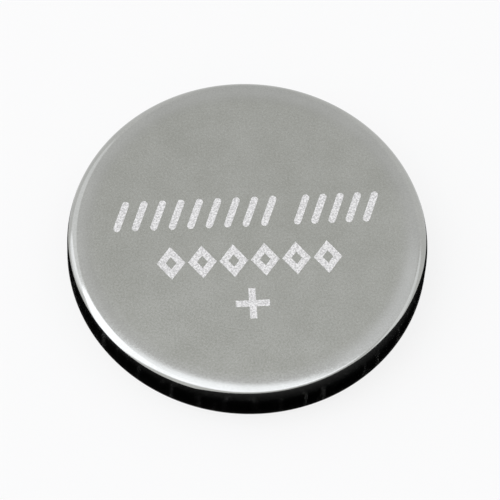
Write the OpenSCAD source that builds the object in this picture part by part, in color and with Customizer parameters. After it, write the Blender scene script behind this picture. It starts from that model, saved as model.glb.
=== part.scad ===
// Lithium coin cell, in section a can, a cap and a gasket crimped together round a stack of discs.
// Millimetres. The cell lies on its negative cap, with the positive face up and the origin under its centre.
// Every piece is a half section turned round the Z axis. In the sections x is the radius and y the height.

/* [Cell] */
// Outside diameter of the cell
cell_d = 24.5; // [20:0.1:32]
// Height over both faces
cell_h = 3.0; // [2.4:0.05:6]

/* [Positive can] */
// Thickness of the can's steel sheet
can_sheet = 0.25; // [0.2:0.01:0.3]
// Outside radius of the bend between the face and the wall
can_corner_r = 0.7; // [0.5:0.05:0.9]
// Width of the outer band where the face stops being flat
crown_band = 1.95; // [1.6:0.05:2.4]
// Radius of the gentle curve across that band
crown_r = 16; // [12:0.5:30]
// Outside radius of the edge curled over the gasket
crimp_r = 0.65; // [0.55:0.05:0.8]
// Length of edge left flat past the curl
crimp_reach = 0.35; // [0.2:0.05:0.5]

/* [Negative cap] */
// Thickness of the cap's steel sheet
cap_sheet = 0.25; // [0.2:0.01:0.3]
// Height by which the cap's face stands past the crimped edge
cap_stand = 0.15; // [0.1:0.01:0.25]
// Outside radius of the bend round the cap's face
cap_corner_r = 0.45; // [0.35:0.05:0.5]
// Radius of the hollow bend where the cap's side meets its shoulder
cap_fillet_r = 0.2; // [0.1:0.05:0.3]
// Outside radius of the bend from the shoulder up into the skirt
shoulder_r = 0.45; // [0.35:0.05:0.5]
// Open groove between the gasket's bead and the cap's side
groove_w = 0.35; // [0.25:0.05:0.6]

/* [Gasket] */
// Plastic between the can's wall and the cap's skirt
gasket_wall = 0.35; // [0.25:0.05:0.5]
// Plastic between the skirt's edge and the inside of the can's face
gasket_floor = 0.35; // [0.25:0.05:0.5]
// Plastic squeezed between the crimped edge and the cap's shoulder
gasket_seat = 0.3; // [0.2:0.05:0.4]
// Thickness of the short lip inside the skirt
lip_w = 0.25; // [0.15:0.05:0.35]
// Height of that lip up the skirt
lip_h = 0.6; // [0.3:0.05:0.8]
// Width of the bead left showing inside the crimped edge
bead_w = 0.4; // [0.25:0.05:0.5]
// Height of the bead's face above the crimped edge's lowest point
bead_rise = 0.13; // [0.1:0.01:0.2]
// Radius of the bead's rounded inner edge
bead_r = 0.12; // [0.05:0.01:0.2]

/* [Cathode] */
// Distance from the edge of the flat face in to the cathode ring
ring_inset = 0.1; // [0.05:0.05:0.4]
// Thickness of the ring's steel sheet
ring_sheet = 0.15; // [0.1:0.01:0.2]
// Outside radius of the ring's bend
ring_bend_r = 0.3; // [0.25:0.05:0.4]
// Width of the ring's flange under the can's face
ring_flange = 0.9; // [0.6:0.1:2]
// Space between the ring's lower edge and the separator
ring_lift = 0.25; // [0.1:0.05:0.5]

/* [Separator and anode] */
// Thickness of the separator
separator_t = 0.15; // [0.1:0.01:0.3]
// Space round the separator where the shoulder starts to bend
separator_gap = 0.1; // [0.05:0.05:0.3]
// Space between the lithium disc and the cap's side
anode_gap = 1.65; // [0.5:0.05:2.5]

/* [Hidden] */
$fn = 180;
bend_fn = 48;
micron = 0.001;

steel = [0.72, 0.72, 0.70];
dull_steel = [0.60, 0.60, 0.60];
black_plastic = [0.10, 0.10, 0.11];
manganese_black = [0.20, 0.20, 0.21];
felt_white = [0.93, 0.93, 0.90];
lithium_grey = [0.78, 0.79, 0.80];

// The can's radii and levels
can_r = cell_d / 2;
flat_r = can_r - crown_band;
corner_x = can_r - can_corner_r;
// Two arcs touch when their centres lie apart by the difference of their radii
centres_apart = crown_r - can_corner_r;
crown_x = corner_x - flat_r;
crown_y = cell_h - crown_r;
// The corner's centre stands up to a micron and a half high, so its arc runs over the end of the crown's
corner_y = ceil((crown_y + sqrt(centres_apart ^ 2 - crown_x ^ 2)) / micron + 0.5) * micron;
crown_end = crown_r * crown_x / centres_apart;
can_floor = cell_h - can_sheet;

// The crimp's radii and levels
crimp_x = can_r - crimp_r;
crimp_y = cap_stand + crimp_r;
crimp_end = crimp_x - crimp_reach;
crimp_inside = cap_stand + can_sheet;

// The cap's radii and levels
bead_x = crimp_end - bead_w;
cap_r = bead_x - groove_w;
shoulder_y = crimp_inside + gasket_seat;
skirt_out = can_r - can_sheet - gasket_wall;
skirt_in = skirt_out - cap_sheet;
skirt_top = can_floor - gasket_floor;
fillet_r = min(cap_fillet_r, shoulder_y - cap_corner_r);

// The radii and levels of what the cell holds
separator_y = shoulder_y + cap_sheet;
separator_r = skirt_out - shoulder_r - separator_gap;
cathode_y = separator_y + separator_t;
anode_r = cap_r - cap_sheet - anode_gap;
ring_r = flat_r - ring_inset;
pellet_r = ring_r - ring_sheet;
ring_bend_x = ring_r - ring_bend_r;
ring_bend_y = can_floor - ring_bend_r;

// A rectangle between two corners
module block(low, high) {
    translate(low) square(high - low);
}

// A quarter of a disc round a centre, towards the side that the two signs give
module quarter(centre, r, side) {
    translate(centre) intersection() {
        circle(r, $fn = bend_fn);
        translate([min(0, side[0] * r), min(0, side[1] * r)]) square(r);
    }
}

// What the can encloses, drawn a distance inside its outer surface
module can_region(inset) {
    wall_r = can_r - inset;
    block([0, crimp_y], [flat_r, cell_h - inset]);
    intersection() {
        translate([flat_r, crown_y]) circle(crown_r - inset);
        block([flat_r, corner_y], [flat_r + crown_end, cell_h]);
    }
    quarter([corner_x, corner_y], can_corner_r - inset, [1, 1]);
    block([flat_r, crimp_y], [wall_r, corner_y]);
    quarter([crimp_x, crimp_y], crimp_r - inset, [1, -1]);
    block([0, cap_stand + inset], [crimp_x, crimp_y]);
}

// What the cap encloses, drawn a distance inside its outer surface
module cap_region(inset) {
    side_r = cap_r - inset;
    corner = cap_r - cap_corner_r;
    skirt_corner = skirt_out - shoulder_r;
    bend_y = shoulder_y + shoulder_r;
    block([0, inset], [corner, cap_corner_r]);
    quarter([corner, cap_corner_r], cap_corner_r - inset, [1, -1]);
    block([0, cap_corner_r], [side_r, shoulder_y + inset]);
    difference() {
        block([side_r, shoulder_y - fillet_r], [cap_r + fillet_r, shoulder_y + inset]);
        translate([cap_r + fillet_r, shoulder_y - fillet_r]) circle(fillet_r + inset, $fn = bend_fn);
    }
    block([0, shoulder_y + inset], [skirt_corner, bend_y]);
    quarter([skirt_corner, bend_y], shoulder_r - inset, [1, -1]);
    block([0, bend_y], [skirt_out - inset, skirt_top]);
}

// Steel can that is the positive pole, with its edge crimped in over the gasket
module positive_can() {
    color(steel) rotate_extrude() difference() {
        can_region(0);
        can_region(can_sheet);
        block([0, 0], [crimp_end, crimp_inside]);
    }
}

// Steel cap that is the negative pole, with a shoulder and a skirt held in the gasket
module negative_cap() {
    color(dull_steel) rotate_extrude() difference() {
        cap_region(0);
        cap_region(cap_sheet);
    }
}

// Plastic ring that fills what lies between the can and the cap and keeps them apart
module gasket() {
    lip_in = skirt_in - lip_w;
    color(black_plastic) rotate_extrude() {
        difference() {
            can_region(can_sheet);
            cap_region(0);
            block([0, 0], [bead_x, separator_y]);
            block([0, separator_y], [lip_in, cell_h]);
        }
        block([lip_in, skirt_top - lip_h], [skirt_in, skirt_top]);
        gasket_bead();
    }
}

// The bead that the crimp squeezes out beside its edge
module gasket_bead() {
    bead_y = cap_stand + bead_rise;
    block([bead_x + bead_r, bead_y], [crimp_end, crimp_inside]);
    block([bead_x, bead_y + bead_r], [bead_x + bead_r, shoulder_y]);
    quarter([bead_x + bead_r, bead_y + bead_r], bead_r, [-1, -1]);
}

// Steel ring of L section that carries the cathode pellet on the can's floor
module cathode_ring() {
    color(dull_steel) rotate_extrude() {
        block([ring_r - ring_flange, can_floor - ring_sheet], [ring_bend_x, can_floor]);
        difference() {
            quarter([ring_bend_x, ring_bend_y], ring_bend_r, [1, 1]);
            quarter([ring_bend_x, ring_bend_y], ring_bend_r - ring_sheet, [1, 1]);
        }
        block([pellet_r, cathode_y + ring_lift], [ring_r, ring_bend_y]);
    }
}

// Pressed manganese dioxide disc that fills the ring and meets the can through it
module cathode_pellet() {
    color(manganese_black) rotate_extrude() {
        block([0, cathode_y], [pellet_r, ring_bend_y]);
        quarter([ring_bend_x, ring_bend_y], ring_bend_r - ring_sheet, [1, 1]);
        block([0, ring_bend_y], [ring_bend_x, can_floor - ring_sheet]);
        block([0, can_floor - ring_sheet], [ring_r - ring_flange, can_floor]);
    }
}

// Felt disc that lies on the lithium and on the cap's shoulder
module separator() {
    color(felt_white) translate([0, 0, separator_y]) cylinder(h = separator_t, r = separator_r);
}

// Lithium disc pressed on the inside of the cap
module lithium_anode() {
    color(lithium_grey) translate([0, 0, cap_sheet]) cylinder(h = separator_y - cap_sheet, r = anode_r);
}

positive_can();
negative_cap();
gasket();
cathode_ring();
cathode_pellet();
separator();
lithium_anode();
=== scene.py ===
# Lithium coin cell on a pale table: a steel can crimped over a black gasket and a steel cap.
# Metres, in the frame of the CAD model: the cell lies on its negative cap, with +Z up its axis.
import math

import bpy
import numpy as np
from mathutils import Matrix, Vector


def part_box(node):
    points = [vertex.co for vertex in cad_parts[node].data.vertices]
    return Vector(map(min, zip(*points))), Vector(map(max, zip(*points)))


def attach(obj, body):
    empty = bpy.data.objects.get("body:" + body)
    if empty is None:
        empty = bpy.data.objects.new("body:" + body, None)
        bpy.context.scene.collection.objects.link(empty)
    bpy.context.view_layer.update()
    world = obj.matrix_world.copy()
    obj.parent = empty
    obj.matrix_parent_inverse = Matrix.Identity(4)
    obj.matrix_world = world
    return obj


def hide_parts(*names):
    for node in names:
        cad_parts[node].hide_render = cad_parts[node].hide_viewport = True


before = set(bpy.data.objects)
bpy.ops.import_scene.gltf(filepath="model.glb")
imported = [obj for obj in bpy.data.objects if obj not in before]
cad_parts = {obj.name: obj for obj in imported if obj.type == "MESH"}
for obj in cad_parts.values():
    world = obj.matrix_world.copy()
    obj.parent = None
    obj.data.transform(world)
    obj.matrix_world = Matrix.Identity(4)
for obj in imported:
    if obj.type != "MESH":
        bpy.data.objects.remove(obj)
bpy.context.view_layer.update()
print("frame loaded:", ", ".join(sorted(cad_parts)))

mm = 0.001
scene = bpy.context.scene
scene.view_settings.view_transform = "Standard"

# Camera: where it stands round the cell, what it aims at, and how it is rolled
viewpoint = {
    "azimuth": -7.45,                        # degrees, 0 looks along +Y
    "elevation": 62.2,                       # degrees above the table
    "roll": 4.14,                            # degrees, the table leans down to the right in the picture
    "distance": 300 * mm,
    "aim": (0.212, -0.236, 1.5),             # mm, in the frame turned by the azimuth
    "pixelsPerMm": 14.68,
    "imageWidth": 500,                       # pixels
    "sensorWidth": 36,                       # mm
    "clip": (0.01, 20),                      # m
}


def placeCamera(v):
    # The view direction comes from azimuth and elevation, and the roll turns the picture's axes about it. The
    # lens is the distance times the sensor's width over the width that the picture shows.
    a, e, roll = (math.radians(v[k]) for k in ("azimuth", "elevation", "roll"))
    right = Vector((math.cos(a), math.sin(a), 0))
    back = Vector((math.sin(a) * math.cos(e), -math.cos(a) * math.cos(e), math.sin(e)))
    up = back.cross(right)
    aim = (Matrix.Rotation(a, 3, "Z") @ Vector(v["aim"])) * mm
    pictureRight = math.cos(roll) * right + math.sin(roll) * up
    pictureUp = -math.sin(roll) * right + math.cos(roll) * up
    data = bpy.data.cameras.new("photo_camera")
    data.sensor_width = v["sensorWidth"]
    data.lens = v["pixelsPerMm"] * v["distance"] / mm * v["sensorWidth"] / v["imageWidth"]
    data.clip_start, data.clip_end = v["clip"]
    camera = bpy.data.objects.new("photo_camera", data)
    turned = Matrix((pictureRight, pictureUp, back)).transposed().to_4x4()
    camera.matrix_world = Matrix.Translation(aim + back * v["distance"]) @ turned
    scene.collection.objects.link(camera)
    scene.camera = camera


placeCamera(viewpoint)
print("camera placed")

# Materials: each is a tree of nodes whose values come from its piece's dictionary


def linearColour(code):
    # An sRGB hex code becomes linear red, green and blue by the sRGB curve, and a full alpha
    parts = np.array([int(code[i:i + 2], 16) for i in (1, 3, 5)]) / 255
    linear = np.where(parts <= 0.04045, parts / 12.92, ((parts + 0.055) / 1.055) ** 2.4)
    return (*map(float, linear), 1.0)


def cells(size):
    # The scale of a pattern whose cells are this many mm across: one over that size in metres
    return 1 / (size * mm)


def addNode(tree, kind, inputs=(), settings=None, out=0):
    # Adds a node, gives it its settings, fills its inputs with values or links, and returns one of its
    # outputs. Inputs come in a row from the first, or by name or number, and the output by name or number.
    node = tree.nodes.new("ShaderNode" + kind)
    for name, value in (settings or {}).items():
        setattr(node, name, value)
    for name, value in inputs.items() if isinstance(inputs, dict) else enumerate(inputs):
        if isinstance(value, bpy.types.NodeSocket):
            tree.links.new(value, node.inputs[name])
        else:
            node.inputs[name].default_value = value
    return node.outputs[out] if len(node.outputs) else None


def emptyTree(owner):
    # The node tree of a material or a world, with nothing in it yet
    owner.use_nodes = True
    owner.node_tree.nodes.clear()
    return owner.node_tree


# Settings that many nodes share. In a row, a Map Range takes its value, the two ends that this runs between,
# and the two that they turn into, which are 0 and 1 where none are given. A Mix takes its share as input 0,
# and two numbers as inputs 2 and 3 or two colours as inputs 6 and 7, and gives a colour as output 2.
eased = {"interpolation_type": "SMOOTHSTEP"}
colours = {"data_type": "RGBA"}
plus = {"operation": "ADD"}
minus = {"operation": "SUBTRACT"}
times = {"operation": "MULTIPLY"}
timesPlus = {"operation": "MULTIPLY_ADD"}
larger = {"operation": "MAXIMUM"}
noiseSpan = (0.3, 0.7)                       # what the values of a noise mostly lie between

# Half sections, in mm out from the axis and up from the table
hold = 0.02                                  # mm in from a run's end, to keep the shading of bends off it
rimFlat = 2.0                                # mm of a flat face at its edge, before plain rings go on inward


def arc(centre, radius, start, stop, steps):
    # Points on a circle from one angle to another, in degrees from the outward direction
    t = np.radians(np.linspace(start, stop, steps + 1))[:, None]
    return np.array(centre) + radius * np.hstack((np.cos(t), np.sin(t)))


def straight(start, stop, share=0.3):
    # A straight run with a point held close to each end, or at a share of a run too short for that
    start, stop = np.array(start, float), np.array(stop, float)
    step = (stop - start) * min(hold / np.linalg.norm(stop - start), share)
    return np.array((start, start + step, stop - step, stop))


def ringsTo(radius, height, steps=5):
    # Points from the axis out along a flat disc
    return np.column_stack((np.linspace(0, radius, steps), np.full(steps, height)))


def joined(*runs, apart=1e-5):
    # The runs one after the other, less each point that lies no further than apart from the one before it
    points = np.concatenate([np.atleast_2d(r) for r in runs])
    step = np.linalg.norm(np.diff(points, axis=0), axis=1)
    return points[np.concatenate(([True], step > apart))]


def meshPiece(name, points, faces, sharp=38):
    # Points in metres and faces become an object, smooth but for edges of more than sharp degrees
    mesh = bpy.data.meshes.new(name)
    mesh.from_pydata(points.tolist(), [], faces)
    mesh.polygons.foreach_set("use_smooth", np.ones(len(mesh.polygons), bool))
    mesh.set_sharp_from_angle(angle=math.radians(sharp))
    piece = bpy.data.objects.new(name, mesh)
    scene.collection.objects.link(piece)
    return piece


def turnedMesh(name, section, around=360):
    # Carries a half section round the Z axis. A point on the axis becomes one pole, and a section that starts
    # off the axis closes on itself. Each section runs clockwise, so its faces look outward.
    closed = section[0, 0] > 0
    body = section if closed else section[1:-1]
    turn = np.linspace(0, 2 * np.pi, around, endpoint=False)
    r, z = body[:, :1], body[:, 1:]
    grid = np.stack((r * np.cos(turn), r * np.sin(turn), z + 0 * turn), axis=-1).reshape(-1, 3)
    rows = np.arange(len(body) if closed else len(body) - 1)[:, None]
    here, beside = rows * around, ((rows + 1) % len(body)) * around
    column, following = np.arange(around), (np.arange(around) + 1) % around
    corners = (here + column, beside + column, beside + following, here + following)
    faces = np.stack(np.broadcast_arrays(*corners), axis=-1).reshape(-1, 4).tolist()
    if not closed:
        first, last, end = len(grid), len(grid) + 1, (len(body) - 1) * around
        grid = np.vstack((grid, (0, 0, section[0, 1]), (0, 0, section[-1, 1])))
        faces += np.stack((column * 0 + first, column, following), axis=-1).tolist()
        faces += np.stack((column * 0 + last, end + following, end + column), axis=-1).tolist()
    return meshPiece(name, grid * mm, faces)


def finishPiece(piece, material, node=None):
    # The piece takes its material, rides on the cell's one body, and may stand for a CAD node
    piece.data.materials.append(material)
    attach(piece, "root")
    if node:
        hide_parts(node)
    print("made", piece.name, len(piece.data.polygons), "faces")


# The can: flat face, gentle crown, bend, straight wall, and the edge curled in under the cell. Etching leaves
# its face a soft satin with faint clouds and specks, which takes the sharpness off what it mirrors. Drawing
# the sheet over a die has burnished the rim, the bend and the wall, so they mirror cleanly, with faint lines
# the way the wall was drawn and faint dull smears where it has been handled.

low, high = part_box("positive_can")
can = {
    "radius": high.x / mm,
    "top": high.z / mm,
    "edge": low.z / mm,
    "sheet": 0.25,
    "flat": 10.3,
    "crownRadius": 16.0,
    "crownSteps": 10,
    "bend": 0.7,
    "bendHeight": 2.25,
    "bendSteps": (24, 12),                   # outside and inside the sheet
    "curl": 0.65,
    "mouth": 11.25,
    "satin": ("#9A9B95", "#A6A7A2"),         # duller and brighter specks of the face
    "burnished": ("#A9AAA7", "#B1B2AF"),     # and of the rim, the bend and the wall
    "brightens": (10.2, 11.4),               # mm from the axis over which one turns into the other
    "smooths": (10.3, 11.1),                 # and over which the roughness changes
    "roughness": (0.15, 0.04),               # of the face and of the rest, before specks and lines add to it
    "speckRoughness": 0.10,
    "lineRoughness": 0.06,
    "cloud": 2.2,                            # mm across
    "speck": 0.13,                           # coarser than the etching's own grain, so that it shows
    "speckShare": 0.6,                       # of the colour's change, beside the clouds
    "mottle": (0.36, 0.64),                  # values that give the duller and the brighter colour
    "speckBump": 0.12,
    "speckDepth": 0.002,                     # mm
    "line": 0.12,                            # mm apart, along the way the wall was drawn
    "lineStretch": 0.06,
    "wall": (11.9, 12.2),                    # mm from the axis over which dull smears of handling start
    "handled": (0.50, 0.74),                 # noise values over which one sets in
    "handledSize": 0.5,                      # mm across
    "handledDull": 0.05,                     # share of the mirror it takes away
}


def canSide(c, inset, steps):
    # The can's outside, or its inside one sheet further in, from the flat face to where the mouth is cut. The
    # crown gives way to the bend at the angle where the bend's circle touches the crown's from inside.
    bendX, curlX, curlY = c["radius"] - c["bend"], c["radius"] - c["curl"], c["edge"] + c["curl"]
    crownY, top, wall = c["top"] - c["crownRadius"], c["top"] - inset, c["radius"] - inset
    lean = math.degrees(math.acos((bendX - c["flat"]) / (c["crownRadius"] - c["bend"])))
    return joined(
        straight((c["flat"] - rimFlat, top), (c["flat"], top)),
        arc((c["flat"], crownY), c["crownRadius"] - inset, 90, lean, c["crownSteps"]),
        arc((bendX, c["bendHeight"]), c["bend"] - inset, lean, 0, steps),
        straight((wall, c["bendHeight"]), (wall, curlY)),
        arc((curlX, curlY), c["curl"] - inset, 0, -90, steps),
        straight((curlX, c["edge"] + inset), (c["mouth"], c["edge"] + inset)),
    )


canMiddle = can["flat"] - rimFlat
canSection = joined(
    ringsTo(canMiddle, can["top"]),
    canSide(can, 0, can["bendSteps"][0]),
    canSide(can, can["sheet"], can["bendSteps"][1])[::-1],
    ringsTo(canMiddle, can["top"] - can["sheet"])[::-1],
)


def drawnSteel(c):
    # Colour and roughness go by the distance from the axis, and clouds, specks and drawn lines vary them. On
    # the wall, noise drawn out upwards takes a little of the metal's mirror away.
    material = bpy.data.materials.new("stainless_steel_etched_and_drawn")
    tree = emptyTree(material)
    place = addNode(tree, "TexCoord", out="Object")
    level = addNode(tree, "Mapping", {"Vector": place, "Scale": (1, 1, 0)})
    upright = addNode(tree, "Mapping", {"Vector": place, "Scale": (1, 1, c["lineStretch"])})
    away = addNode(tree, "VectorMath", (level,), {"operation": "LENGTH"}, "Value")
    brightens = addNode(tree, "MapRange", (away, *(r * mm for r in c["brightens"])), eased)
    smooths = addNode(tree, "MapRange", (away, *(r * mm for r in c["smooths"])), eased)
    wall = addNode(tree, "MapRange", (away, *(r * mm for r in c["wall"])), eased)
    cloud = addNode(tree, "TexNoise", {"Vector": place, "Scale": cells(c["cloud"]), "Detail": 3})
    speck = addNode(tree, "TexNoise", {"Vector": place, "Scale": cells(c["speck"]), "Detail": 2})
    line = addNode(tree, "TexNoise", {"Vector": upright, "Scale": cells(c["line"]), "Detail": 2})
    mottle = addNode(tree, "Mix", {0: c["speckShare"], 2: cloud, 3: speck})
    mottle = addNode(tree, "MapRange", (mottle, *c["mottle"]))
    duller, brighter = map(linearColour, c["satin"])
    satin = addNode(tree, "Mix", {0: mottle, 6: duller, 7: brighter}, colours, 2)
    duller, brighter = map(linearColour, c["burnished"])
    burnished = addNode(tree, "Mix", {0: mottle, 6: duller, 7: brighter}, colours, 2)
    colour = addNode(tree, "Mix", {0: brightens, 6: satin, 7: burnished}, colours, 2)
    roughness = addNode(tree, "MapRange", (smooths, 0, 1, *c["roughness"]))
    roughness = addNode(tree, "Math", (speck, c["speckRoughness"], roughness), timesPlus)
    roughness = addNode(tree, "Math", (line, c["lineRoughness"], roughness), timesPlus)
    bump = addNode(tree, "Bump", {"Strength": c["speckBump"], "Distance": c["speckDepth"] * mm,
                                  "Height": speck})
    handled = addNode(tree, "TexNoise", {"Vector": upright, "Scale": cells(c["handledSize"]), "Detail": 2})
    handled = addNode(tree, "MapRange", (handled, *c["handled"]), eased)
    dull = addNode(tree, "Math", (wall, handled), times)
    metallic = addNode(tree, "MapRange", (dull, 0, 1, 1, 1 - c["handledDull"]))
    shader = addNode(tree, "BsdfPrincipled", {"Base Color": colour, "Metallic": metallic,
                                              "Roughness": roughness, "Normal": bump})
    addNode(tree, "OutputMaterial", {"Surface": shader})
    return material


finishPiece(turnedMesh("can_shell", canSection), drawnSteel(can), "positive_can")

# The cap: flat face, corner, side, hollow bend, shoulder, and the skirt that stands in the gasket. Its steel
# is left as rolled and etched, duller than the can, with a fine even pitting that scatters what it mirrors,
# and a clean ring where contacts and tables have rubbed its corner.

low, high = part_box("negative_cap")
cap = {
    "skirt": high.x / mm,
    "skirtTop": high.z / mm,
    "sheet": 0.25,
    "side": 10.5,
    "corner": 0.45,
    "hollow": 0.2,
    "shoulder": 0.70,
    "shoulderBend": 0.45,
    "bendSteps": (16, 10),                   # outside and inside the sheet
    "etched": ("#94948F", "#A3A3A1"),        # in the pits and between them
    "rubbed": "#BDBDBB",
    "rubs": (9.7, 10.2),                     # mm from the axis over which the rubbed ring starts
    "roughness": (0.42, 0.24),               # as etched and where rubbed
    "cloudRoughness": 0.04,                  # more or less, by the clouds
    "cloud": 1.8,                            # mm across
    "pit": 0.16,                             # mm across, coarser than the real pitting, so that it shows
    "pitted": (0.1, 0.5),                    # pit widths from its middle over which a pit ends
    "pitBump": 0.25,
    "pitDepth": 0.004,                       # mm
}


def capSide(c, inset, steps):
    # The cap's outside, or its inside one sheet further in, from the top of the skirt down to the flat face
    side, skirt, shoulder = c["side"] - inset, c["skirt"] - inset, c["shoulder"] + inset
    hollowX, hollowY = c["side"] + c["hollow"], c["shoulder"] - c["hollow"]
    bendX, bendY = c["skirt"] - c["shoulderBend"], c["shoulder"] + c["shoulderBend"]
    cornerX = c["side"] - c["corner"]
    return joined(
        straight((skirt, c["skirtTop"]), (skirt, bendY)),
        arc((bendX, bendY), c["shoulderBend"] - inset, 0, -90, steps),
        straight((bendX, shoulder), (hollowX, shoulder)),
        arc((hollowX, hollowY), c["hollow"] + inset, 90, 180, steps),
        straight((side, hollowY), (side, c["corner"])),
        arc((cornerX, c["corner"]), c["corner"] - inset, 0, -90, steps),
        straight((cornerX, inset), (cornerX - rimFlat, inset)),
    )


capMiddle = cap["side"] - cap["corner"] - rimFlat
capSection = joined(
    ringsTo(capMiddle, cap["sheet"]),
    capSide(cap, cap["sheet"], cap["bendSteps"][1])[::-1],
    capSide(cap, 0, cap["bendSteps"][0]),
    ringsTo(capMiddle, 0)[::-1],
)


def pittedSteel(c):
    # Colour and roughness go by the distance from the axis, cells round scattered points give the pits, and
    # clouds vary the roughness
    material = bpy.data.materials.new("stainless_steel_rolled_and_etched")
    tree = emptyTree(material)
    place = addNode(tree, "TexCoord", out="Object")
    level = addNode(tree, "Mapping", {"Vector": place, "Scale": (1, 1, 0)})
    away = addNode(tree, "VectorMath", (level,), {"operation": "LENGTH"}, "Value")
    rubbed = addNode(tree, "MapRange", (away, *(r * mm for r in c["rubs"])), eased)
    pit = addNode(tree, "TexVoronoi", {"Vector": place, "Scale": cells(c["pit"])}, out="Distance")
    cloud = addNode(tree, "TexNoise", {"Vector": place, "Scale": cells(c["cloud"]), "Detail": 3})
    ground = addNode(tree, "MapRange", (pit, *c["pitted"]), eased)
    darker, paler = map(linearColour, c["etched"])
    etched = addNode(tree, "Mix", {0: ground, 6: darker, 7: paler}, colours, 2)
    colour = addNode(tree, "Mix", {0: rubbed, 6: etched, 7: linearColour(c["rubbed"])}, colours, 2)
    roughness = addNode(tree, "MapRange", (rubbed, 0, 1, *c["roughness"]))
    change = addNode(tree, "MapRange", (cloud, *noiseSpan, -c["cloudRoughness"], c["cloudRoughness"]))
    roughness = addNode(tree, "Math", (roughness, change), plus)
    bump = addNode(tree, "Bump", {"Strength": c["pitBump"], "Distance": c["pitDepth"] * mm, "Height": pit})
    shader = addNode(tree, "BsdfPrincipled", {"Base Color": colour, "Metallic": 1.0,
                                              "Roughness": roughness, "Normal": bump})
    addNode(tree, "OutputMaterial", {"Surface": shader})
    return material


finishPiece(turnedMesh("cap_shell", capSection), pittedSteel(cap), "negative_cap")

# The gasket: it fills what lies between can and cap, and a bead of it shows beside the crimped edge. It is
# moulded polypropylene, a matt black skin with a very fine orange peel, a little greyer where the crimp has
# worked it.

low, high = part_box("gasket")
gasket = {
    "bead": low.z / mm,
    "beadInner": 10.85,
    "beadRound": 0.12,
    "beadSteps": 8,
    "lipInner": 11.15,
    "lipFoot": 1.80,
    "skin": ("#1A1A1C", "#242426"),          # as moulded and where worked
    "patch": 0.9,                            # mm across
    "worked": (0.35, 0.7),                   # noise values over which a worked patch starts
    "peel": 0.07,                            # mm across
    "peelBump": 0.3,
    "peelDepth": 0.004,                      # mm
    "roughness": (0.44, 0.56),
}


def gasketSection(g, c, k):
    # Clockwise: the can's inside down to its mouth, the bead, the cap's outside up over the skirt, and the
    # lip inside the skirt. The lip ends under the crown, at the height read off the crown's points.
    canInside = canSide(c, c["sheet"], c["bendSteps"][1])
    crown = canInside[canInside[:, 0] > c["flat"]]
    outer = crown[crown[:, 0] > g["lipInner"]]
    lipTop = np.interp(g["lipInner"], crown[:c["crownSteps"], 0], crown[:c["crownSteps"], 1])
    beadX, beadY = g["beadInner"] + g["beadRound"], g["bead"] + g["beadRound"]
    capOuter = capSide(k, 0, k["bendSteps"][0])[::-1]
    skirt = capOuter[capOuter[:, 0] > g["beadInner"]]
    skirtInner = k["skirt"] - k["sheet"]
    return joined(
        (g["lipInner"], lipTop),
        outer,
        straight((c["mouth"], c["edge"] + c["sheet"]), (c["mouth"], g["bead"])),
        straight((c["mouth"], g["bead"]), (beadX, g["bead"])),
        arc((beadX, beadY), g["beadRound"], -90, -180, g["beadSteps"]),
        straight((g["beadInner"], beadY), (g["beadInner"], k["shoulder"])),
        skirt,
        straight((k["skirt"], k["skirtTop"]), (skirtInner, k["skirtTop"])),
        straight((skirtInner, k["skirtTop"]), (skirtInner, g["lipFoot"])),
        straight((skirtInner, g["lipFoot"]), (g["lipInner"], g["lipFoot"])),
        straight((g["lipInner"], g["lipFoot"]), (g["lipInner"], lipTop - hold)),
    )


def mouldedPlastic(g):
    # Noise as fine as the peel gives the roughness and the bump, and wide noise the worked patches
    material = bpy.data.materials.new("polypropylene_moulded_black")
    tree = emptyTree(material)
    place = addNode(tree, "TexCoord", out="Object")
    peel = addNode(tree, "TexNoise", {"Vector": place, "Scale": cells(g["peel"]), "Detail": 2})
    patch = addNode(tree, "TexNoise", {"Vector": place, "Scale": cells(g["patch"]), "Detail": 2})
    worked = addNode(tree, "MapRange", (patch, *g["worked"]), eased)
    darker, greyer = map(linearColour, g["skin"])
    colour = addNode(tree, "Mix", {0: worked, 6: darker, 7: greyer}, colours, 2)
    roughness = addNode(tree, "MapRange", (peel, *noiseSpan, *g["roughness"]))
    bump = addNode(tree, "Bump", {"Strength": g["peelBump"], "Distance": g["peelDepth"] * mm, "Height": peel})
    shader = addNode(tree, "BsdfPrincipled", {"Base Color": colour, "Roughness": roughness, "Normal": bump})
    addNode(tree, "OutputMaterial", {"Surface": shader})
    return material


gasketRing = turnedMesh("gasket_ring", gasketSection(gasket, can, cap))
finishPiece(gasketRing, mouldedPlastic(gasket), "gasket")

# The marking: three centred rows of plain shapes. The marking tool has frosted the steel, so it scatters
# nearly white, in fine bright and dull specks.

marking = {
    "stroke": 0.48,                          # mm wide
    "proud": 0.006,                          # mm above the face, and as far down into it
    "rows": (1.9, -1.8, -5.1),               # height of each row's middle on the face
    "hatch": {"groups": ((-9.1, 2.15), (3.2, 9.1)), "inset": 0.6, "pitch": 1.25, "height": 2.3, "lean": 0.7},
    "lozenge": {"count": 6, "width": 12.6, "height": 2.5, "size": 1.95},
    "plus": 2.3,
    "frosted": ("#CAC9C7", "#FBFAF8"),       # dull and bright specks
    "speck": 0.13,                           # mm across, coarser than the real specks, so that they show
    "speckGrain": 0.7,                       # how much of its finer noise a speck keeps
    "mottle": (0.38, 0.62),                  # noise values that give the dull and the bright colour
    "speckBump": 0.5,
    "speckDepth": 0.006,                     # mm
    "mirror": 0.1,                           # share of the surface that still mirrors as metal
    "roughness": 0.75,
}


def strokeOutlines(starts, ends, width, steps=6):
    # Each stroke is a line with round ends: half circles about both ends, turned to the line's direction
    along = ends - starts
    turn = np.arctan2(along[:, 1], along[:, 0])[:, None]
    half = np.linspace(-90, 90, steps + 1)
    t = np.radians(np.concatenate((half, half + 180)))[None, :] + turn
    middle = np.repeat(np.stack((ends, starts), axis=1), steps + 1, axis=1)
    return middle + width / 2 * np.stack((np.cos(t), np.sin(t)), axis=-1)


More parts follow.
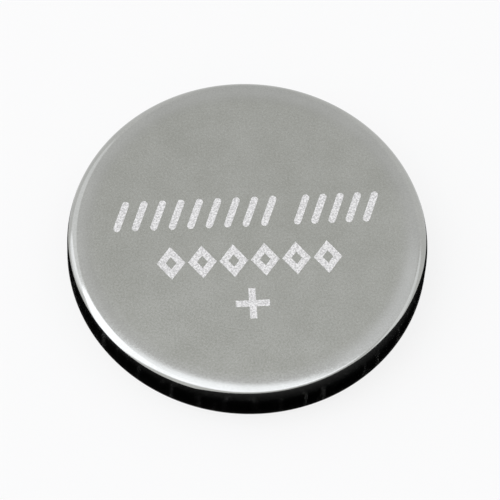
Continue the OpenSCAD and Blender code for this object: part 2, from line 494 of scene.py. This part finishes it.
def plates(outer, inner, low, high, start):
    # Outlines of some marks, each counterclockwise, become closed plates between two heights. Marks with an
    # inner outline are rings. Returns points and faces, and the faces count the points from start.
    count, sides = outer.shape[:2]
    rims = [outer] if inner is None else [outer, inner]
    flat = np.concatenate([rim.reshape(-1, 2) for rim in rims])
    total = len(flat)
    points = np.vstack([np.column_stack((flat, np.full(total, z))) for z in (high, low)])
    column = np.arange(sides)
    here = start + np.arange(count)[:, None] * sides + column
    following = start + np.arange(count)[:, None] * sides + (column + 1) % sides
    quads = [np.stack((here + total, following + total, following, here), axis=-1)]
    if inner is None:
        faces = here.tolist() + (here[:, ::-1] + total).tolist()
    else:
        faces = []
        inHere, inFollowing = here + count * sides, following + count * sides
        quads += [np.stack((inHere, inFollowing, inFollowing + total, inHere + total), axis=-1),
                  np.stack((here, following, inFollowing, inHere), axis=-1),
                  np.stack((inHere + total, inFollowing + total, following + total, here + total), axis=-1)]
    return points, faces + np.concatenate([q.reshape(-1, 4) for q in quads]).tolist()


def markingShapes(m, top):
    # Slanted strokes, lozenge rings and a plus, all as outlines in mm on the face. A lozenge's side lies its
    # half width times its half height over the side's length from the middle, and its hole's side one stroke
    # nearer.
    hatch, lozenge = m["hatch"], m["lozenge"]
    runs = [(a + hatch["inset"], b - hatch["inset"]) for a, b in hatch["groups"]]
    centres = np.concatenate([np.linspace(a, b, round((b - a) / hatch["pitch"]) + 1) for a, b in runs])
    reach = np.array((hatch["lean"], hatch["height"] - m["stroke"])) / 2
    middles = np.column_stack((centres, np.full(len(centres), m["rows"][0])))
    strokes = strokeOutlines(middles - reach, middles + reach, m["stroke"])
    corner = np.array(((1, 0), (0, 1), (-1, 0), (0, -1)), float)
    half = np.array((lozenge["size"], lozenge["height"])) / 2
    shrink = 1 - m["stroke"] * np.hypot(*half) / (half[0] * half[1])
    across = (lozenge["width"] - lozenge["size"]) / 2
    centres = np.linspace(-across, across, lozenge["count"])
    middles = np.column_stack((centres, np.full(len(centres), m["rows"][1])))
    rings = middles[:, None] + corner * half
    holes = middles[:, None] + corner * half * shrink
    a, b = m["plus"] / 2, m["stroke"] / 2
    cross = np.array(((a, -b), (a, b), (b, b), (b, a), (-b, a), (-b, b),
                      (-a, b), (-a, -b), (-b, -b), (-b, -a), (b, -a), (b, -b)))
    cross = cross[None] + (0, m["rows"][2])
    points, faces = np.empty((0, 3)), []
    for outer, inner in ((strokes, None), (rings, holes), (cross, None)):
        more, sides = plates(outer, inner, top - m["proud"], top + m["proud"], len(points))
        points = np.vstack((points, more))
        faces += sides
    return points, faces


def frostedSteel(m):
    # Fine noise gives the specks their colour and their depth
    material = bpy.data.materials.new("stainless_steel_frosted")
    tree = emptyTree(material)
    place = addNode(tree, "TexCoord", out="Object")
    speck = addNode(tree, "TexNoise", {"Vector": place, "Scale": cells(m["speck"]), "Detail": 3,
                                       "Roughness": m["speckGrain"]})
    mottle = addNode(tree, "MapRange", (speck, *m["mottle"]), eased)
    duller, brighter = map(linearColour, m["frosted"])
    colour = addNode(tree, "Mix", {0: mottle, 6: duller, 7: brighter}, colours, 2)
    bump = addNode(tree, "Bump", {"Strength": m["speckBump"], "Distance": m["speckDepth"] * mm,
                                  "Height": speck})
    shader = addNode(tree, "BsdfPrincipled", {"Base Color": colour, "Metallic": m["mirror"],
                                              "Roughness": m["roughness"], "Normal": bump})
    addNode(tree, "OutputMaterial", {"Surface": shader})
    return material


markPoints, markFaces = markingShapes(marking, can["top"])
finishPiece(meshPiece("face_marking", markPoints * mm, markFaces), frostedSteel(marking))

# The pieces inside keep their CAD shapes and take their finishes here


def giveFinish(node, material):
    # Every slot of a CAD node takes the same material
    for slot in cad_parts[node].material_slots:
        slot.material = material
    print("finished", node)


# Bent strip: bright from the rolls, with fine lines round the ring where it was drawn
ring = {
    "steel": ("#8E8E8E", "#A2A2A2"),
    "roughness": (0.24, 0.34),
    "line": 0.1,                             # mm apart
    "lineStretch": 0.05,
}


def stripSteel(r):
    # Noise drawn out along the sheet gives colour and roughness
    material = bpy.data.materials.new("stainless_steel_strip")
    tree = emptyTree(material)
    place = addNode(tree, "TexCoord", out="Object")
    along = addNode(tree, "Mapping", {"Vector": place, "Scale": (r["lineStretch"], r["lineStretch"], 1)})
    line = addNode(tree, "TexNoise", {"Vector": along, "Scale": cells(r["line"]), "Detail": 2})
    darker, paler = map(linearColour, r["steel"])
    colour = addNode(tree, "Mix", {0: line, 6: darker, 7: paler}, colours, 2)
    roughness = addNode(tree, "MapRange", (line, *noiseSpan, *r["roughness"]))
    shader = addNode(tree, "BsdfPrincipled", {"Base Color": colour, "Metallic": 1.0, "Roughness": roughness})
    addNode(tree, "OutputMaterial", {"Surface": shader})
    return material


giveFinish("cathode_ring", stripSteel(ring))

# Manganese dioxide and carbon pressed in a die: soft black, with the grains showing as greyer crumbs
pellet = {
    "powder": ("#161617", "#3A3A3C"),
    "roughness": 0.85,
    "crumb": 0.12,                           # mm across
    "crumbBump": 0.6,
    "crumbDepth": 0.02,                      # mm
    "patch": 1.5,                            # mm across
}


def pressedPowder(p):
    # Cells round scattered points give the crumbs, and wide noise makes some patches greyer
    material = bpy.data.materials.new("manganese_dioxide_pressed")
    tree = emptyTree(material)
    place = addNode(tree, "TexCoord", out="Object")
    crumb = addNode(tree, "TexVoronoi", {"Vector": place, "Scale": cells(p["crumb"])}, out="Distance")
    patch = addNode(tree, "TexNoise", {"Vector": place, "Scale": cells(p["patch"]), "Detail": 3})
    tone = addNode(tree, "Math", (crumb, patch), times)
    darker, greyer = map(linearColour, p["powder"])
    colour = addNode(tree, "Mix", {0: tone, 6: darker, 7: greyer}, colours, 2)
    bump = addNode(tree, "Bump", {"Strength": p["crumbBump"], "Distance": p["crumbDepth"] * mm,
                                  "Height": crumb})
    shader = addNode(tree, "BsdfPrincipled", {"Base Color": colour, "Roughness": p["roughness"],
                                              "Normal": bump})
    addNode(tree, "OutputMaterial", {"Surface": shader})
    return material


giveFinish("cathode_pellet", pressedPowder(pellet))

# Unwoven polypropylene soaked in electrolyte: off-white crossed fibres with a wet sheen
felt = {
    "fibres": ("#CFCFC8", "#F0F0EA"),        # between them and on them
    "roughness": 0.55,
    "fibre": 0.05,                           # mm across, coarser than a real fibre, so that it shows
    "fibreStretch": 0.08,
    "raised": (0.4, 0.75),                   # noise values over which a fibre stands out
    "fibreBump": 0.5,
    "fibreDepth": 0.02,                      # mm
}


def wetFelt(f):
    # The higher of two noises, drawn out along X and along Y, gives fibres that cross
    material = bpy.data.materials.new("polypropylene_felt")
    tree = emptyTree(material)
    place = addNode(tree, "TexCoord", out="Object")
    one = addNode(tree, "Mapping", {"Vector": place, "Scale": (1, f["fibreStretch"], 1)})
    other = addNode(tree, "Mapping", {"Vector": place, "Scale": (f["fibreStretch"], 1, 1)})
    one = addNode(tree, "TexNoise", {"Vector": one, "Scale": cells(f["fibre"]), "Detail": 2})
    other = addNode(tree, "TexNoise", {"Vector": other, "Scale": cells(f["fibre"]), "Detail": 2})
    fibre = addNode(tree, "Math", (one, other), larger)
    raised = addNode(tree, "MapRange", (fibre, *f["raised"]), eased)
    darker, paler = map(linearColour, f["fibres"])
    colour = addNode(tree, "Mix", {0: raised, 6: darker, 7: paler}, colours, 2)
    bump = addNode(tree, "Bump", {"Strength": f["fibreBump"], "Distance": f["fibreDepth"] * mm,
                                  "Height": fibre})
    shader = addNode(tree, "BsdfPrincipled", {"Base Color": colour, "Roughness": f["roughness"],
                                              "Normal": bump})
    addNode(tree, "OutputMaterial", {"Surface": shader})
    return material


giveFinish("separator", wetFelt(felt))

# Soft metal rolled and pressed on: silvery grey, clouded by a thin tarnish
lithium = {
    "metal": ("#B4B6B8", "#8B8C90"),         # clean and tarnished
    "roughness": (0.35, 0.6),
    "tarnish": 1.6,                          # mm across
    "clouded": (0.35, 0.65),                 # noise values over which it sets in
}


def rolledLithium(s):
    # Wide noise gives the tarnish, which is darker and rougher
    material = bpy.data.materials.new("lithium_rolled")
    tree = emptyTree(material)
    place = addNode(tree, "TexCoord", out="Object")
    tarnish = addNode(tree, "TexNoise", {"Vector": place, "Scale": cells(s["tarnish"]), "Detail": 4})
    clouded = addNode(tree, "MapRange", (tarnish, *s["clouded"]), eased)
    clean, dark = map(linearColour, s["metal"])
    colour = addNode(tree, "Mix", {0: clouded, 6: clean, 7: dark}, colours, 2)
    roughness = addNode(tree, "MapRange", (tarnish, *noiseSpan, *s["roughness"]))
    shader = addNode(tree, "BsdfPrincipled", {"Base Color": colour, "Metallic": 1.0, "Roughness": roughness})
    addNode(tree, "OutputMaterial", {"Surface": shader})
    return material


giveFinish("lithium_anode", rolledLithium(lithium))

# Stage: a pale table, dark card that only polished metal sees, soft lamps and a pale surround

stage = {
    "table": "#F4F4F4",
    "tableRoughness": 0.9,
    "tableRadius": 3.0,                      # m
    "tableHeight": -0.01 * mm,               # a hair below the cell, so the two flats never lie in one plane
    "tableShown": 0.82,                      # how much even white the camera and reflections see in the table
    "surroundShown": 0.88,                   # what reflections see of the surround, ahead and behind
    "surroundLeft": (0.0, -0.2, 1.00),       # where it starts and ends growing to the left, and grows to
    "surroundRight": (0.15, 0.45, 0.97),     # and to the right
    "surroundLight": 0.56,                   # what it lights
}


def diskMesh(name, radius, height, around=96):
    # One flat round face
    turn = np.linspace(0, 2 * np.pi, around, endpoint=False)
    points = np.column_stack((radius * np.cos(turn), radius * np.sin(turn), 0 * turn + height))
    return meshPiece(name, points, [list(range(around))])


def tableMaterial(s):
    # Matt white paper. What the camera and reflections see is part its shading and part an even white, so
    # the cell's shadow stays on it and its edge fades into the surround. What it lights is its plain colour.
    # It is clear from below, so the cell's negative side can be looked at too.
    material = bpy.data.materials.new("paper_matt_pale")
    tree = emptyTree(material)
    rays = addNode(tree, "LightPath").node.outputs
    mirrored = addNode(tree, "Math", (rays["Is Glossy Ray"], rays["Is Transmission Ray"]), larger)
    looked = addNode(tree, "Math", (rays["Is Camera Ray"], mirrored), larger)
    shown = addNode(tree, "Math", (looked, s["tableShown"]), times)
    paper = addNode(tree, "BsdfPrincipled", {"Base Color": linearColour(s["table"]),
                                             "Roughness": s["tableRoughness"]})
    white = addNode(tree, "Emission", {"Color": (1, 1, 1, 1), "Strength": 1.0})
    above = addNode(tree, "MixShader", (shown, paper, white))
    below = addNode(tree, "NewGeometry", out="Backfacing")
    surface = addNode(tree, "MixShader", (below, above, addNode(tree, "BsdfTransparent")))
    addNode(tree, "OutputMaterial", {"Surface": surface})
    return material


table = diskMesh("table", stage["tableRadius"], stage["tableHeight"])
table.data.materials.append(tableMaterial(stage))

# A studio stands dark card round polished steel to draw its edge, and here it blackens the near side of the
# wall. Only reflections see this one, so the table round the cell stays pale and keeps the cell's shadow. It
# stands close round the near side of the cell, highest at the lower right of the picture, and thins out to
# nothing past its ends.
card = {
    "colour": "#040404",
    "roughness": 0.9,
    "radius": 12.3,                          # mm
    "azimuth": (-130, -90, -34, -21, -1, 8, 22, 31, 39, 58, 77, 117),            # degrees from the near side
    "height": (2.1, 2.5, 3.0, 3.15, 4.9, 5.3, 5.5, 5.3, 4.3, 3.1, 2.65, 2.1),    # mm, at each azimuth
    "steps": 240,
    "fade": 40,                              # degrees at each end over which it thins out
    "thinning": 2.2,                         # the power with which it looks to thin out evenly
    "reach": (2.4, 4.0),                     # mm over which what mirrors it loses sight of it
    "level": (2.9, 3.1),                     # mm up, over which it starts to show only to steep rays
    "slack": (0.35, 0.55),                   # mm by which such a ray may be longer than it climbs
}


def cardStrip(name, c):
    # A strip bent round the axis: the angle runs along it, and its height is read off the list at each angle.
    # Its weight is 1, less a power of the share of the fade that is still ahead.
    azimuth = np.linspace(c["azimuth"][0], c["azimuth"][-1], c["steps"] + 1)
    height = np.interp(azimuth, c["azimuth"], c["height"])
    turn = np.radians(azimuth - 90)
    foot = np.column_stack((c["radius"] * np.cos(turn), c["radius"] * np.sin(turn), 0 * turn))
    top = foot + np.column_stack((0 * turn, 0 * turn, height))
    here = np.arange(c["steps"])
    above = here + c["steps"] + 1
    faces = np.column_stack((here, here + 1, above + 1, above)).tolist()
    piece = meshPiece(name, np.vstack((foot, top)) * mm, faces)
    inward = np.clip(np.minimum(azimuth - azimuth[0], azimuth[-1] - azimuth) / c["fade"], 0, 1)
    weight = 1 - (1 - inward) ** c["thinning"]
    layer = piece.data.attributes.new("weight", "FLOAT", "POINT")
    layer.data.foreach_set("value", np.tile(weight, 2).astype(np.float32))
    return piece


def cardMaterial(c):
    # Matt black card, clear where its weight is nothing and to what mirrors it from further off than its
    # reach, so it darkens an edge and not a face. Above the cell's top it is also clear to rays that run much
    # further than they climb, so the far rim hardly mirrors it.
    material = bpy.data.materials.new("card_matt_black")
    tree = emptyTree(material)
    weight = addNode(tree, "Attribute", (), {"attribute_name": "weight"}, "Fac")
    away = addNode(tree, "LightPath", out="Ray Length")
    place = addNode(tree, "TexCoord", out="Object")
    height = addNode(tree, "SeparateXYZ", (place,), out="Z")
    near = addNode(tree, "MapRange", (away, *(d * mm for d in c["reach"]), 1, 0), eased)
    climb = addNode(tree, "Math", (height, c["level"][0] * mm), minus)
    excess = addNode(tree, "Math", (away, climb), minus)
    steep = addNode(tree, "MapRange", (excess, *(d * mm for d in c["slack"]), 1, 0), eased)
    low = addNode(tree, "MapRange", (height, *(z * mm for z in c["level"]), 1, 0), eased)
    seen = addNode(tree, "Math", (steep, low), larger)
    seen = addNode(tree, "Math", (seen, near), times)
    solid = addNode(tree, "Math", (weight, seen), times)
    black = addNode(tree, "BsdfPrincipled", {"Base Color": linearColour(c["colour"]),
                                             "Roughness": c["roughness"]})
    surface = addNode(tree, "MixShader", (solid, addNode(tree, "BsdfTransparent"), black))
    addNode(tree, "OutputMaterial", {"Surface": surface})
    return material


strip = cardStrip("dark_card", card)
strip.data.materials.append(cardMaterial(card))
for kind in ("camera", "diffuse", "transmission", "volume_scatter", "shadow"):
    setattr(strip, "visible_" + kind, False)

# Each lamp is an oval of lit cloth that faces the cell. It hangs so many degrees round from the near side
# towards the right of the picture and above the table, and is turned about the way it faces. Then come its
# two diameters in metres and its radiance.
cloth = {
    "tint": "#F4F6FF",                       # a little cooler than the steel, so the highlights are neutral
    "distance": 1.0,                         # m
}
lamps = {
    "long_lamp": {"azimuth": -89.2, "elevation": 54, "turn": 15.4, "size": (0.60, 2.54), "radiance": 1.52},
    "left_lamp": {"azimuth": -112, "elevation": 20, "turn": 0, "size": (0.40, 0.90), "radiance": 0.64},
    "side_lamp": {"azimuth": -130, "elevation": 40, "turn": 0, "size": (0.90, 1.00), "radiance": 0.32},
    "right_lamp": {"azimuth": 101, "elevation": 50, "turn": 0, "size": (0.60, 0.50), "radiance": 0.42},
    "small_lamp": {"azimuth": 146, "elevation": 65, "turn": 0, "size": (0.30, 0.18), "radiance": 0.25},
}


def softLamp(name, s, c):
    # The lamp's direction comes from azimuth and elevation, and its power is its radiance times pi times its
    # area
    a, e, turn = (math.radians(s[k]) for k in ("azimuth", "elevation", "turn"))
    away = Vector((math.sin(a) * math.cos(e), -math.cos(a) * math.cos(e), math.sin(e)))
    level = Vector((math.cos(a), math.sin(a), 0))
    rise = away.cross(level)
    width, height = s["size"]
    area = math.pi * width * height / 4
    data = bpy.data.lights.new(name, "AREA")
    data.shape = "ELLIPSE"
    data.size = width
    data.size_y = height
    data.color = linearColour(c["tint"])[:3]
    data.energy = s["radiance"] * math.pi * area
    lamp = bpy.data.objects.new(name, data)
    across = level * math.cos(turn) + rise * math.sin(turn)
    along = rise * math.cos(turn) - level * math.sin(turn)
    turned = Matrix((across, along, away)).transposed().to_4x4()
    lamp.matrix_world = Matrix.Translation(away * c["distance"]) @ turned
    lamp.visible_camera = False
    scene.collection.objects.link(lamp)


def surround(s):
    # Even light from all round. The camera sees it white, reflections see it near white and brighter out to
    # both sides, and what it lights is softer.
    world = bpy.data.worlds.new("surround")
    tree = emptyTree(world)
    rays = addNode(tree, "LightPath").node.outputs
    place = addNode(tree, "TexCoord", out="Generated")
    way = addNode(tree, "SeparateXYZ", (place,), out="X")
    left, right = (addNode(tree, "MapRange", (way, start, end, s["surroundShown"], grown), eased)
                   for start, end, grown in (s["surroundLeft"], s["surroundRight"]))
    shown = addNode(tree, "Math", (left, right), larger)
    mirrored = addNode(tree, "Math", (rays["Is Glossy Ray"], rays["Is Transmission Ray"]), larger)
    strength = addNode(tree, "Math", (mirrored, shown, rays["Is Camera Ray"]), timesPlus)
    strength = addNode(tree, "Math", (strength, s["surroundLight"]), larger)
    light = addNode(tree, "Background", {"Color": (1, 1, 1, 1), "Strength": strength})
    addNode(tree, "OutputWorld", {"Surface": light})
    scene.world = world


for name, lamp in lamps.items():
    softLamp(name, lamp, cloth)
surround(stage)
print("stage and lights set")
